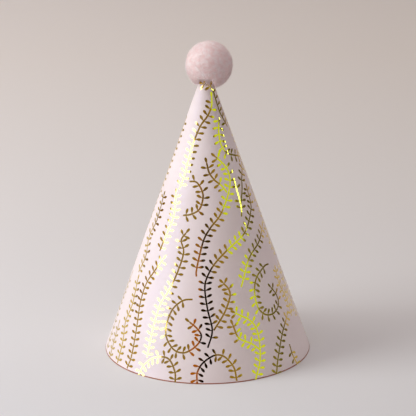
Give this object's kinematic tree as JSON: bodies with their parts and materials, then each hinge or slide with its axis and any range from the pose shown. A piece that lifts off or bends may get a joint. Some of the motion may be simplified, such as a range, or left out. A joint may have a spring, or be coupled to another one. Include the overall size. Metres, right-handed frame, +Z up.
{
  "type": "paper party hat",
  "caption": "Small cone party hat rolled from one sheet of card printed with vines in gold foil, glued along an overlap at the back, with a fluffy pompom glued on its cut tip.",
  "frame": {"origin": "middle of the rim, in the plane that the hat stands on", "axes": "+Z up along the cone's axis, -Y towards the front of the hat, and +Y towards the seam"},
  "size_m": [0.11, 0.1102, 0.17],
  "materials": {
    "card": "smooth coated card, pale pink-white, satin",
    "foil": "hot-stamped gold foil, smooth and mirror-like",
    "glue": "set hot-melt glue, milky and slightly glossy",
    "pompom": "dense short plush fibres, pale pink-white"
  },
  "bodies": {
    "root": {"card_cone": "card", "seam_glue": "glue", "foil_vines": "foil", "pompom_glue": "glue", "pompom": "pompom"}
  },
  "joints": []
}
